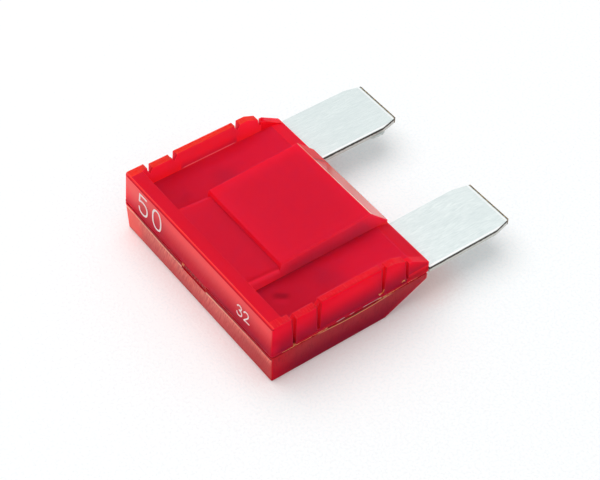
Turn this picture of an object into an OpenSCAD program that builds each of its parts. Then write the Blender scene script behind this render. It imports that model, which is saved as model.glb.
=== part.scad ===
// Large automotive blade fuse, 50 A size class: a two-shell moulded housing round one stamped element.
// Every module draws with the marked end at y = 0 and the back at z = 0; placed() then moves the
// whole fuse so that its origin is the middle of its footprint.

/* [Overall] */
// Width across the housing at the seam
body_w = 29.2; // [28:0.1:32]
// Thickness from the flat back to the raised rim
body_t = 8.9; // [8.6:0.1:10]
// Length of the front shell, from the marked end to the blade end
body_l = 22; // [21.5:0.05:24]
// Length from the marked end to the blade tips
total_l = 34.3; // [32:0.1:36]

/* [Front shell] */
// Height of the front shell's lower edge above the back
seam_z = 4.45; // [4.2:0.05:4.7]
// Lean of each outer face over the height of its shell
face_lean = 0.18; // [0.05:0.01:0.25]
// Height of the fine bead along the foot of each side
bead_h = 0.15; // [0.1:0.05:0.3]
// Distance that the bead stands out from the side
bead_out = 0.06; // [0.04:0.01:0.1]
// Thickness of the wall at the marked end
end_wall_t = 1.93; // [1.5:0.05:2.2]
// Thickness of a side wall at its top
side_wall_t = 0.87; // [0.7:0.01:1.1]
// Extra thickness of a side wall at its foot, on the inside
side_wall_flare = 0.12; // [0.05:0.01:0.2]
// Depth of the two sunken floors below the rim
floor_d = 2.63; // [2.3:0.01:2.7]
// Length of the ramp at the blade end of each floor
ramp_l = 2; // [1.5:0.05:2.5]
// Height that the ramp loses
ramp_drop = 0.6; // [0.3:0.05:0.8]
// Bevel along the top edge of the marked end
rim_bevel = 0.25; // [0.1:0.05:0.4]
// Radius of the four upright corners
corner_r = 0.3; // [0.15:0.05:0.5]

/* [Side walls] */
// Distances of the four slots from the marked end
slot_y = [3.02, 6.37, 15.3, 18.58];
// Width of a slot at the top of the wall
slot_w = 0.74; // [0.6:0.02:0.9]
// Width of a slot's groove at its foot
slot_foot_w = 0.42; // [0.3:0.02:0.6]
// Distances by which each groove's foot lies nearer the blade end than its slot
slot_shift = [0.1, 0, 0, 0.2];
// Heights of the feet of the grooves above the seam
slot_foot_h = [0, 0.45, 0.25, 0.5];
// Depth of the grooves into the side
groove_d = 0.5; // [0.3:0.05:0.6]
// Depths below the rim of the pointed notches that open the slots through the wall
slot_notch_d = [0.95, 0.85, 0.85, 1.8];
// Height of the point at a notch's foot
notch_point_h = 0.6; // [0.4:0.05:0.8]
// Depth of the front tab's top below the rim
front_tab_d = 0.35; // [0.2:0.05:0.8]
// Depth of the rear tab's top below the rim
rear_tab_d = 0.15; // [0.1:0.05:0.8]
// Length of the slope at the end of the rear tab
rear_tab_slope_l = 1.37; // [0.8:0.01:1.6]
// Height that this slope loses
rear_tab_slope_drop = 0.78; // [0.3:0.01:0.9]
// Depth of the last length of wall below the rim
tail_wall_d = 1.58; // [1.3:0.01:1.9]
// Length of the slope from this wall's top to the foot of the ramp
tail_slope_l = 2.61; // [2.2:0.01:2.8]
// Height of the broad lip at the foot of the last length of wall
tail_lip_h = 0.5; // [0.3:0.05:0.6]
// Distance that the wall lies back behind its lip
tail_lip_out = 0.13; // [0.08:0.01:0.2]
// Radius of the long tab's outer edge
long_tab_r = 0.25; // [0.1:0.05:0.5]

/* [Raised block] */
// Thickness of the raised block's walls beside the arcing chamber
block_side_t = 0.55; // [0.4:0.05:0.8]
// Distance from the marked end to the start of the block
block_y = 6.6; // [6.3:0.05:6.9]
// Depth of the block's top below the rim at its start
block_d = 0.48; // [0.3:0.01:0.6]
// Length of the lean of the block's front face
block_front_l = 0.15; // [0.05:0.01:0.3]
// Length of the slanted face at the block's blade end
block_slant_l = 2.56; // [2.2:0.02:2.8]
// Height that the slanted face loses
block_slant_drop = 2.46; // [2.2:0.02:2.6]
// Bevel along the block's two upper side edges
block_bevel = 0.12; // [0.05:0.01:0.2]
// Distance from the block's end to the blade end of the shell
block_end_gap = 0.24; // [0.1:0.01:0.4]
// Depth of the label strip below the rim at the marked end
strip_d = 0.6; // [0.5:0.01:0.8]
// Depth of the label strip below the rim where it meets the block
strip_end_d = 1.05; // [0.9:0.01:1.2]
// Radius of the label strip's side edges
strip_r = 0.9; // [0.5:0.05:1.1]

/* [Back shell] */
// Width of the open line between the two shells
weld_gap = 0.28; // [0.15:0.01:0.35]
// Distance of the weld step from the outside
weld_inset = 0.45; // [0.35:0.05:0.6]
// Distance that the back shell stops short of the front shell
back_short = 0.35; // [0.2:0.05:0.6]
// Length of the nose slope at the blade end
nose_l = 6; // [5:0.05:6.5]
// Height of the nose slope
nose_h = 3.35; // [3:0.05:3.5]
// Bevel along the edges of the back
back_bevel = 0.2; // [0.1:0.05:0.3]
// Distance of the gate notch's middle from the middle plane
gate_x = -0.4; // [-2:0.1:2]
// Width of the notch that the gate leaves in the rim at the marked end
gate_w = 4.8; // [3:0.1:6]
// Height of the gate notch
gate_h = 0.85; // [0.5:0.05:1.2]
// Depth of the gate notch
gate_d = 0.25; // [0.1:0.05:0.35]

/* [Blades] */
// Width of a blade
blade_w = 8; // [7.6:0.1:8.2]
// Thickness of the sheet that the element is stamped from
blade_t = 0.8; // [0.7:0.05:0.9]
// Distance from a blade's outer edge to the side of the housing
blade_edge_gap = 0.1; // [0.05:0.05:0.3]
// Length of the bevel at a blade's tip
tip_l = 2.32; // [1.5:0.02:3]
// Width that the bevel takes from each side of the tip
tip_in = 0.57; // [0.3:0.01:1]
// Width of a blade inside the housing
neck_w = 6.4; // [6:0.1:6.6]
// Distance from the marked end to the element's inner ends
element_y = 6.4; // [6:0.1:7]

/* [Fusible link] */
// Thickness of the link
link_t = 0.6; // [0.4:0.05:0.7]
// Width of the link's runs
link_w = 1.5; // [1.2:0.1:1.8]
// Distance between neighbouring runs
link_pitch = 3.2; // [2.9:0.1:3.4]
// Distance from the marked end to the first run
link_y = 9.2; // [9:0.1:9.6]
// Gap between each bend and the blade neck beside it
link_bend_gap = 1.55; // [1.2:0.05:2]
// Width of the weak spot in the middle run
weak_w = 0.8; // [0.6:0.05:1]

/* [Inside fits] */
// Wall left round the arcing chamber
chamber_wall = 1.2; // [1:0.05:1.3]
// Radius of the pegs that locate the element
peg_r = 1.2; // [0.9:0.05:1.4]
// Distance from the marked end to the pegs
peg_y = 11; // [10:0.1:13]
// Height of the pegs above the seat of the element
peg_h = 1.4; // [1.1:0.05:1.5]
// Clearance round the pegs, in the blades and the sockets
peg_clear = 0.15; // [0.1:0.05:0.25]
// Clearance round and above the element in its recess
element_clear = 0.05; // [0.03:0.01:0.1]

/* [Hidden] */
$fn = 48;
red_front = [0.86, 0.11, 0.15];
red_back = [0.6, 0.1, 0.14];
silver = [0.82, 0.84, 0.84];
// Overshoot of cutting shapes past the faces that they cut
over = 1;
half_w = body_w / 2;
blade_out = half_w - blade_edge_gap;
blade_in = blade_out - blade_w;
block_w = 2 * (blade_in + block_side_t);
blade_z = seam_z - blade_t / 2;
neck_out = blade_in + neck_w;
peg_x = blade_in + neck_w / 2;
peg_hole_r = peg_r + peg_clear;
shoulder_y = body_l + element_clear;
back_l = body_l - back_short;
rim_z = seam_z - weld_gap;
block_end_y = body_l - block_end_gap;
block_slant_y = block_end_y - block_slant_l;
slant_foot_z = body_t - block_slant_drop;
floor_z = body_t - floor_d;
ramp_y = body_l - ramp_l;
ramp_z = floor_z - ramp_drop;
block_z = body_t - block_d;
strip_z = body_t - strip_d;
strip_end_z = body_t - strip_end_d;
nose_y = back_l - nose_l;
peg_z = blade_z + peg_h;
wall_in = half_w - face_lean - side_wall_t;
link_end_y = link_y + 2 * link_pitch + link_w / 2;
link_bend_x = blade_in - link_bend_gap - (link_pitch + link_w) / 2;
strip_tilt = atan((strip_z - strip_end_z) / (block_y - end_wall_t));
block_tilt = atan(block_d / (block_slant_y - block_y - block_front_l));

// Moves the fuse from the marked end to the middle of its footprint
module placed() {
    translate([0, -total_l / 2, 0]) children();
}

// Extrudes an [x, z] outline along Y
module along_y(y, length) {
    translate([0, y + length, 0]) rotate([90, 0, 0]) linear_extrude(length) children();
}

// Extrudes a [y, z] outline along X
module along_x(x, width) {
    translate([x, 0, 0]) rotate([90, 0, 90]) linear_extrude(width) children();
}

// Draws its children on both sides of the middle plane
module both_sides() {
    children();
    mirror([1, 0, 0]) children();
}

// Cutter that rounds an upright corner; the corner is at the origin and the solid lies at -x, +y.
// Its arc is a little flatter than a tangent one, so that it meets both faces at a small angle.
module corner_cutter(height) {
    set_in = 1.1 * corner_r;
    arc_r = 1.04 * set_in;
    translate([0, 0, -over]) linear_extrude(height + 2 * over) difference() {
        translate([-set_in, -over]) square(set_in + over);
        translate([-set_in, set_in]) circle(arc_r);
    }
}

// Front shell: outer form, with leaning faces and a bevelled marked end
module front_outline() {
    intersection() {
        along_y(-over, body_l + 2 * over) front_section();
        along_x(-body_w, 2 * body_w) front_side();
    }
}

module front_section() {
    side_x = half_w - bead_out;
    polygon([
        [-half_w, seam_z], [half_w, seam_z], [half_w, seam_z + bead_h],
        [side_x, seam_z + bead_h], [half_w - face_lean, body_t],
        [face_lean - half_w, body_t], [-side_x, seam_z + bead_h], [-half_w, seam_z + bead_h]
    ]);
}

module front_side() {
    polygon([
        [0, seam_z], [body_l, seam_z], [body_l, body_t],
        [face_lean + rim_bevel, body_t], [face_lean, body_t - rim_bevel]
    ]);
}

// Wall at the marked end with the two sunken floors and their ramps
module floor_side() {
    polygon([
        [0, seam_z], [body_l, seam_z], [body_l, ramp_z], [ramp_y, floor_z],
        [end_wall_t, floor_z], [end_wall_t, body_t], [0, body_t]
    ]);
}

// Top line of a side wall, before its slots: corner, tab, long tab, sloped tab and tail
module wall_side() {
    front_tab_z = body_t - front_tab_d;
    rear_tab_z = body_t - rear_tab_d;
    tail_z = body_t - tail_wall_d;
    polygon([
        [0, seam_z], [body_l, seam_z],
        [body_l, ramp_z], [body_l - tail_slope_l, tail_z], [slot_y[3], tail_z],
        [slot_y[3], rear_tab_z - rear_tab_slope_drop],
        [slot_y[3] - slot_w / 2 - rear_tab_slope_l, rear_tab_z], [slot_y[2], rear_tab_z],
        [slot_y[2], body_t], [slot_y[1], body_t],
        [slot_y[1], front_tab_z], [slot_y[0], front_tab_z],
        [slot_y[0], body_t], [0, body_t]
    ]);
}

// Section of a side wall, thicker at its foot
module wall_section() {
    polygon([
        [wall_in - side_wall_flare, floor_z - over], [half_w + over, floor_z - over],
        [half_w + over, body_t], [wall_in, body_t], [wall_in - side_wall_flare, floor_z]
    ]);
}

module side_wall() {
    intersection() {
        along_x(0, body_w) wall_side();
        along_y(-over, body_l + 2 * over) wall_section();
    }
}

// One slot: a groove down the side, with a pointed notch through the wall at its top
module slot(i) {
    y = slot_y[i];
    foot_y = y + slot_shift[i];
    foot_z = seam_z + slot_foot_h[i];
    groove_x = half_w - face_lean - groove_d;
    notch_z = body_t - slot_notch_d[i];
    top_z = body_t + 2 * over;
    notch_half_w = slot_w / 2 * (top_z - notch_z) / notch_point_h;
    intersection() {
        along_x(wall_in - over, body_w) polygon([
            [foot_y - slot_foot_w / 2, foot_z], [foot_y + slot_foot_w / 2, foot_z],
            [y + slot_w / 2, body_t], [y + slot_w / 2, body_t + over],
            [y - slot_w / 2, body_t + over], [y - slot_w / 2, body_t]
        ]);
        union() {
            along_y(y - slot_w, 2 * slot_w) polygon([
                [groove_x, foot_z - over], [half_w + over, foot_z - over],
                [half_w + over, top_z], [groove_x, top_z]
            ]);
            along_x(wall_in - over, body_w) polygon([
                [y, notch_z], [y + notch_half_w, top_z], [y - notch_half_w, top_z]
            ]);
        }
    }
}

// Round on the outer edge of the long tab
module long_tab_round() {
    edge_x = half_w - face_lean;
    along_y(slot_y[1], slot_y[2] - slot_y[1]) difference() {
        translate([edge_x - long_tab_r, body_t - long_tab_r]) square(long_tab_r + over);
        translate([edge_x - long_tab_r, body_t - long_tab_r]) circle(long_tab_r);
    }
}

// Set-back of the last length of wall behind its lip
module tail_set_back() {
    face_x = half_w - tail_lip_out;
    start_y = slot_y[3] + slot_shift[3];
    along_y(start_y, body_l - start_y + over) polygon([
        [face_x, seam_z + tail_lip_h], [half_w + over, seam_z + tail_lip_h],
        [half_w + over, body_t], [face_x - face_lean, body_t]
    ]);
}

// Raised block over the arcing chamber, with its slanted end
module raised_block() {
    top_y = block_y + block_front_l;
    difference() {
        along_x(-block_w / 2, block_w) polygon([
            [block_y, seam_z], [block_end_y, seam_z], [block_end_y, slant_foot_z],
            [block_slant_y, body_t], [top_y, block_z], [block_y, strip_end_z]
        ]);
        both_sides() translate([block_w / 2, top_y, block_z]) rotate([block_tilt, 0, 0])
            along_y(-over, body_l) rotate(45) square(sqrt(2) * block_bevel, center = true);
    }
}

// Sloping label strip between the end wall and the block, round along both sides
module label_strip() {
    length = block_y - end_wall_t + over;
    intersection() {
        translate([0, end_wall_t, strip_z]) rotate([-strip_tilt, 0, 0])
            along_y(-over, length + 2 * over) strip_section();
        translate([-half_w, end_wall_t - over / 2, seam_z]) cube([body_w, length, body_t]);
    }
}

module strip_section() {
    depth = strip_z - seam_z;
    edge_x = block_w / 2 - strip_r;
    translate([-edge_x, -depth]) square([2 * edge_x, depth]);
    translate([-block_w / 2, -depth]) square([block_w, depth - strip_r]);
    both_sides() translate([edge_x, -strip_r]) circle(strip_r);
}

// Space for the stamped element between the shells: flat over the link and both blade necks
module element_recess(z_low, z_high) {
    height = z_high - z_low;
    translate([-neck_out - element_clear, element_y - element_clear, z_low])
        cube([2 * (neck_out + element_clear), link_end_y - element_y + 2 * element_clear, height]);
    both_sides() translate([blade_in - element_clear, element_y, z_low])
        cube([neck_w + 2 * element_clear, body_l + over - element_y, height]);
}

// Arcing chamber: follows the block above the element and the nose slope below it
module chamber() {
    front_y = block_y + chamber_wall;
    foot_y = nose_y - chamber_wall / 2;
    roof_y = block_slant_y - chamber_wall / 2;
    rear_y = block_end_y - 2 * chamber_wall;
    roof_z = body_t - chamber_wall;
    along_x(-blade_in, 2 * blade_in) polygon([
        [front_y, chamber_wall], [foot_y, chamber_wall],
        [rear_y, chamber_wall + (rear_y - foot_y) * nose_h / nose_l],
        [rear_y, roof_z - (rear_y - roof_y) * block_slant_drop / block_slant_l],
        [roof_y, roof_z], [front_y, block_z - chamber_wall]
    ]);
}

// Cutters for the four upright corners of the front shell
module front_corners() {
    height = body_t - seam_z;
    side_x = half_w - bead_out;
    side_tilt = -atan((face_lean - bead_out) / height);
    both_sides() {
        translate([side_x, 0, seam_z]) rotate([-atan(face_lean / height), side_tilt, 0])
            corner_cutter(height);
        translate([side_x, body_l, seam_z]) rotate([0, side_tilt, 0]) mirror([0, 1, 0])
            corner_cutter(height);
    }
}

// Sockets in the front shell for the locating pegs
module sockets() {
    depth = peg_z + peg_clear - seam_z;
    both_sides() translate([peg_x, peg_y, seam_z - over]) cylinder(h = depth + over, r = peg_hole_r);
}

// Front shell as moulded
module front_shell() {
    color(red_front) placed() difference() {
        union() {
            intersection() {
                front_outline();
                union() {
                    along_x(-body_w, 2 * body_w) floor_side();
                    both_sides() side_wall();
                }
            }
            raised_block();
            label_strip();
        }
        both_sides() {
            for (i = [0:3]) slot(i);
            long_tab_round();
            tail_set_back();
        }
        front_corners();
        sockets();
        element_recess(seam_z - over, blade_z + blade_t + element_clear);
        chamber();
    }
}

// Back shell: outer form with its sloped nose and rounded corners at the marked end
module back_outline() {
    tilt = atan(face_lean / (rim_z - back_bevel));
    difference() {
        intersection() {
            along_y(-over, body_l + 2 * over) polygon([
                [face_lean + back_bevel - half_w, 0], [half_w - face_lean - back_bevel, 0],
                [half_w - face_lean, back_bevel], [half_w, rim_z],
                [-half_w, rim_z], [face_lean - half_w, back_bevel]
            ]);
            along_x(-body_w, 2 * body_w) polygon([
                [face_lean + back_bevel, 0], [nose_y, 0], [back_l, nose_h],
                [back_l, rim_z], [0, rim_z], [face_lean, back_bevel]
            ]);
        }
        both_sides() translate([half_w, 0, rim_z]) rotate([tilt, tilt, 0])
            translate([0, 0, -rim_z]) corner_cutter(rim_z);
    }
}

// Step inside the rim that the front shell is welded to
module weld_step() {
    translate([weld_inset - half_w, weld_inset, rim_z - weld_inset])
        cube([body_w - 2 * weld_inset, back_l - 2 * weld_inset, weld_gap + weld_inset]);
}

// Notch that the gate leaves in the rim at the marked end
module gate_notch() {
    translate([gate_x - gate_w / 2, -over, rim_z - gate_h]) cube([gate_w, gate_d + over, gate_h + over]);
}

// Back shell as moulded
module back_shell() {
    color(red_back) placed() {
        difference() {
            union() {
                back_outline();
                weld_step();
            }
            element_recess(blade_z, seam_z + over);
            chamber();
            gate_notch();
        }
        both_sides() translate([peg_x, peg_y, blade_z - over]) cylinder(h = peg_h + over, r = peg_r);
    }
}

// Outline of one blade, from its neck in the housing to its bevelled tip
module blade_outline() {
    difference() {
        polygon([
            [blade_in, element_y], [neck_out, element_y], [neck_out, shoulder_y],
            [blade_out, shoulder_y], [blade_out, total_l - tip_l], [blade_out - tip_in, total_l],
            [blade_in + tip_in, total_l], [blade_in, total_l - tip_l]
        ]);
        translate([peg_x, peg_y]) circle(peg_hole_r);
    }
}

// Half ring that joins two runs of the link, opening to -x
module bend() {
    difference() {
        circle(link_pitch / 2 + link_w / 2);
        circle(link_pitch / 2 - link_w / 2);
        translate([-2 * link_pitch, -2 * link_pitch]) square([2 * link_pitch, 4 * link_pitch]);
    }
}

// Z-shaped fusible link in three runs, with its weak spot in the middle run
module link_outline() {
    mid_y = link_y + link_pitch;
    notch_r = (link_w - weak_w) / 2;
    run_l = blade_in + link_bend_x;
    difference() {
        union() {
            translate([-blade_in, link_y - link_w / 2]) square([run_l, link_w]);
            translate([-link_bend_x, mid_y - link_w / 2]) square([2 * link_bend_x, link_w]);
            translate([-link_bend_x, mid_y + link_pitch - link_w / 2]) square([run_l, link_w]);
            translate([link_bend_x, mid_y - link_pitch / 2]) bend();
            translate([-link_bend_x, mid_y + link_pitch / 2]) mirror([1, 0]) bend();
        }
        translate([0, mid_y - link_w / 2]) circle(notch_r);
        translate([0, mid_y + link_w / 2]) circle(notch_r);
    }
}

// Stamped element: two blades and the thinner link between them
module fuse_element() {
    color(silver) placed() {
        translate([0, 0, blade_z]) linear_extrude(blade_t) both_sides() blade_outline();
        translate([0, 0, seam_z - link_t / 2]) linear_extrude(link_t) link_outline();
    }
}

front_shell();
back_shell();
fuse_element();
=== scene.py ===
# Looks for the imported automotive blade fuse. Everything is in metres, in the part's own frame:
# the marked end faces -Y, the blades point to +Y and the fuse lies on its back at z = 0.
import math
import random

import bmesh
import bpy
from mathutils import Matrix, Vector


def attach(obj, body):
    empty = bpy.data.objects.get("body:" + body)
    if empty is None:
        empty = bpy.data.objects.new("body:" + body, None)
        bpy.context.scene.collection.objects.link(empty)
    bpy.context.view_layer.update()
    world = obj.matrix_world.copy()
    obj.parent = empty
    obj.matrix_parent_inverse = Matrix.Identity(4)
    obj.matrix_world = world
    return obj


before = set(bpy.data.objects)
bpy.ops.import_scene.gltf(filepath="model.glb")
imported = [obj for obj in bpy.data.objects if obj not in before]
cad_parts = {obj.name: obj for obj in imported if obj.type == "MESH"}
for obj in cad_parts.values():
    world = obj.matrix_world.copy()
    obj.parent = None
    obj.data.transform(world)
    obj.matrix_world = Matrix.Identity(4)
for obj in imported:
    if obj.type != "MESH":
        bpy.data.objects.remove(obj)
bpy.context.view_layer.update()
mm = 0.001
print("frame loaded:", ", ".join(sorted(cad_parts)))


# Camera, fitted to the photograph's edges
cameraView = {
    "target": (0, -2.15, 4), "distance": 207.324,
    "azimuth": 52.033, "elevation": 46.366, "roll": 1.947,
    "lens": 107.54, "sensor": 36, "shift": (-0.00451, -0.02903), "clip": (0.01, 20),
}


def addCamera(view):
    azimuth, elevation, roll = (math.radians(view[key]) for key in ("azimuth", "elevation", "roll"))
    back = Vector((math.sin(azimuth) * math.cos(elevation),
                   -math.cos(azimuth) * math.cos(elevation), math.sin(elevation)))
    right = Vector((0, 0, 1)).cross(back).normalized()
    up = back.cross(right)
    across = math.cos(roll) * right + math.sin(roll) * up
    upward = -math.sin(roll) * right + math.cos(roll) * up
    data = bpy.data.cameras.new("fuseCamera")
    data.lens = view["lens"]
    data.sensor_width = view["sensor"]
    data.sensor_fit = "HORIZONTAL"
    data.shift_x, data.shift_y = view["shift"]
    data.clip_start, data.clip_end = view["clip"]
    camera = bpy.data.objects.new("fuseCamera", data)
    camera.matrix_world = Matrix.Translation((Vector(view["target"]) + back * view["distance"]) * mm) \
        @ Matrix((across, upward, back)).transposed().to_4x4()
    bpy.context.scene.collection.objects.link(camera)
    bpy.context.scene.camera = camera


addCamera(cameraView)
print("camera placed")


class Wire:
    # a socket of a material, so that sums on it can be written as plain Python
    def __init__(self, look, socket):
        self.look = look
        self.socket = socket

    def maths(self, operation, first, second):
        return self.look.node("Math", {"operation": operation}, {0: first, 1: second})

    def __add__(self, other):
        return self.maths("ADD", self, other)

    def __radd__(self, other):
        return self.maths("ADD", other, self)

    def __sub__(self, other):
        return self.maths("SUBTRACT", self, other)

    def __rsub__(self, other):
        return self.maths("SUBTRACT", other, self)

    def __mul__(self, other):
        return self.maths("MULTIPLY", self, other)

    def __rmul__(self, other):
        return self.maths("MULTIPLY", other, self)


def rgb(red, green, blue):
    # a colour as a picture shows it, 0 to 255, as Blender's linear one
    return tuple(c / 12.92 if c <= 0.04045 else ((c + 0.055) / 1.055) ** 2.4
                 for c in (red / 255, green / 255, blue / 255)) + (1,)


class Look:
    # a material; node() adds any node to it, and the rest are short ways to the usual ones
    def __init__(self, name):
        self.material = bpy.data.materials.new(name)
        self.material.use_nodes = True
        self.tree = self.material.node_tree
        self.tree.nodes.clear()

    def node(self, kind, settings=None, sockets=None, output=0):
        made = self.tree.nodes.new("ShaderNode" + kind)
        for key, value in (settings or {}).items():
            setattr(made, key, value)
        for key, value in (sockets or {}).items():
            if isinstance(value, Wire):
                self.tree.links.new(value.socket, made.inputs[key])
            else:
                made.inputs[key].default_value = value
        return Wire(self, made.outputs[output]) if made.outputs else None

    def place(self):
        # x, y and z over the piece, in millimetres
        spot = self.node("TexCoord", output="Object")
        spot = self.node("VectorMath", {"operation": "SCALE"}, {0: spot, "Scale": 1000})
        return spot, [self.node("SeparateXYZ", sockets={0: spot}, output=i) for i in range(3)]

    def facing(self):
        # how far the surface faces +X, +Y and +Z
        normal = self.node("TexCoord", output="Normal")
        return [self.node("SeparateXYZ", sockets={0: normal}, output=i) for i in range(3)]

    def size(self, value):
        return self.node("Math", {"operation": "ABSOLUTE"}, {0: value})

    def edges(self, normal, low, high):
        # 1 along the edges that the rounded normal turns at, 0 on the flats
        flat = self.node("NewGeometry", output="Normal")
        match = self.node("VectorMath", {"operation": "DOT_PRODUCT"}, {0: normal, 1: flat}, "Value")
        return self.rise(match, 1 - low, 1 - high)

    def rise(self, value, start, end):
        # 0 below start, 1 above end, smooth between them; a start above the end falls instead
        return self.node("MapRange", {"interpolation_type": "SMOOTHSTEP"},
                         {"Value": value, "From Min": start, "From Max": end})

    def slide(self, value, start, end, amount):
        # runs from 0 at start to the amount at end
        return self.rise(value, start, end) * amount

    def past(self, value, edge, soft):
        # 1 past the edge
        return self.rise(value, edge - soft, edge + soft)

    def before(self, value, edge, soft):
        # 1 before the edge
        return self.rise(value, edge + soft, edge - soft)

    def band(self, value, start, end, soft):
        # 1 between start and end
        return self.past(value, start, soft) * self.before(value, end, soft)

    def near(self, offset, reach, core):
        # 1 where the offset is within the core, 0 beyond the reach
        return self.rise(self.size(offset), reach, core)

    def faces(self, way, sign=1):
        # 1 where the surface faces that way, 0 where it turns well away
        return self.rise(way, 0.6 * sign, 0.9 * sign)

    def rounded(self, radius):
        # the normal as if the edges were rounded
        return self.node("Bevel", {"samples": 6}, {"Radius": radius * mm})

    def noise(self, spot, stretch, detail=3, roughness=0.5):
        # stretch is one number or one for each axis, and a higher one is finer
        if not isinstance(stretch, tuple):
            stretch = (stretch,) * 3
        spot = self.node("VectorMath", {"operation": "MULTIPLY"}, {0: spot, 1: stretch})
        return self.node("TexNoise", sockets={"Vector": spot, "Scale": 1, "Detail": detail,
                                              "Roughness": roughness})

    def distance(self, first, second):
        return self.node("VectorMath", {"operation": "DISTANCE"}, {0: first, 1: second}, "Value")

    def point(self, x, y):
        return self.node("CombineXYZ", sockets={0: x, 1: y, 2: 0.0})

    def blend(self, factor, first, second):
        return self.node("Mix", {"data_type": "RGBA"}, {0: factor, 6: first, 7: second}, 2)

    def lay(self, mask, colour, coat):
        # a coat is a paint and how well it covers, from 0 to 1
        paint, cover = coat
        return self.blend(mask * cover, colour, paint)

    def bump(self, height, distance, strength, normal=None):
        sockets = {"Height": height, "Distance": distance * mm, "Strength": strength}
        if normal:
            sockets["Normal"] = normal
        return self.node("Bump", sockets=sockets)

    def finish(self, sockets):
        return self.show(self.node("BsdfPrincipled", sockets=sockets))

    def show(self, shader):
        self.node("OutputMaterial", sockets={"Surface": shader})
        return self.material


# The two red mouldings. Lengths are in millimetres, and fromEnd is measured from the marked end
shellForm = {
    "endAt": -17.15, "endWall": 1.93, "length": 22.0, "halfWidth": 14.6,
    "seam": 4.45, "rimFoot": 4.17, "floor": 6.27, "rim": 8.9, "rampAt": 20.0,
    "wallFoot": 13.43, "grooveAt": 13.92, "grooves": (2.2, 19.4), "longTab": (7.2, 15.2),
    "tailAt": 18.7, "blockHalfWidth": 7.05, "blockAt": 6.6, "slantAt": 19.4,
}

redPlastic = {
    "ior": 1.22, "specular": 0.1, "glossTint": (1, 0.34, 0.38, 1), "fileMarksTurn": -20,
    "leftCorner": (-11.8, -13.4), "cornerGlow": (-10.5, -13),
    # the glow is painted light: a red emission standing in for light that comes through the walls
    "dark": (0, 0, 0, 1), "glow": rgb(98, 0, 6), "wander": (0.9, 3, 0.6),
}


def fileMarks(look, spot, marks):
    # the slanting lines that a file left on the marked end
    turned = look.node("Mapping", sockets={
        "Vector": spot, "Rotation": (0, math.radians(redPlastic["fileMarksTurn"]), 0)})
    return look.noise(turned, *marks)


def wanderOver(look, spot):
    # from -0.5 to 0.5, for lines that don't run straight
    return look.noise(spot, *redPlastic["wander"]) - 0.5


def finishRed(look, paint, parts):
    # what both mouldings share: a tinted gloss, red depth, light that comes through, and a painted glow
    # in the emission
    common = redPlastic
    return look.finish({
        "IOR": common["ior"], "Specular IOR Level": common["specular"],
        "Specular Tint": common["glossTint"], "Subsurface Weight": 1.0,
        "Subsurface Radius": paint["subsurface"], "Subsurface Scale": paint["subsurfaceDepth"] * mm,
        "Base Color": parts["colour"], "Roughness": parts["roughness"], "Normal": parts["normal"],
        "Emission Color": look.blend(parts["through"], common["dark"], common["glow"]),
        "Emission Strength": 1.0,
    } | parts.get("coat", {}))


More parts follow.
